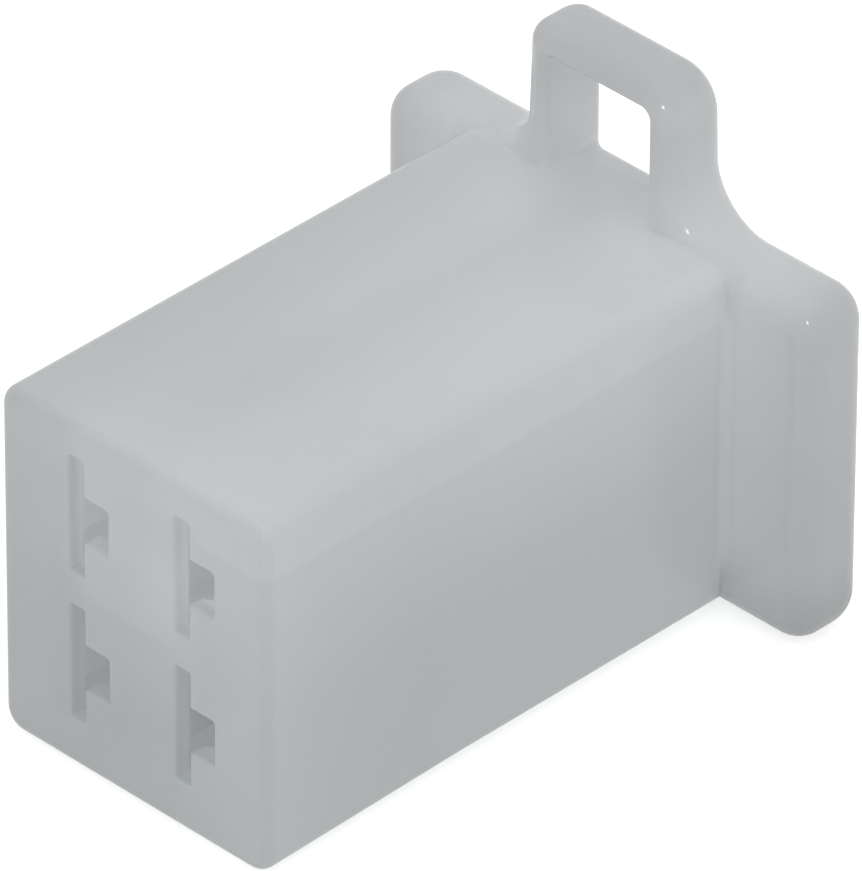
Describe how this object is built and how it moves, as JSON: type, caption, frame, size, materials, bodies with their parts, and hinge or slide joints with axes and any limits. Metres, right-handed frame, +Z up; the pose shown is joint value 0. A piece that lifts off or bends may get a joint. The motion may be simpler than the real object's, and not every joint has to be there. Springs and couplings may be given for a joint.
{
  "type": "wire to board connector housing",
  "caption": "Crimp-contact power connector housing in natural nylon: a square body with upright tab slots, a rear plate with two ears and a latch loop on top.",
  "frame": {"origin": "centre of the bounding box's bottom face, level with the underside of the rear plate", "axes": "+X across the two columns to the right as seen on the mating face, +Y from the mating face to the wire side, +Z up to the latch loop"},
  "size_m": [0.0254, 0.031, 0.0243],
  "materials": {
    "housing": "satin moulded, natural translucent nylon"
  },
  "bodies": {
    "root": {"housing": "housing"}
  },
  "joints": []
}
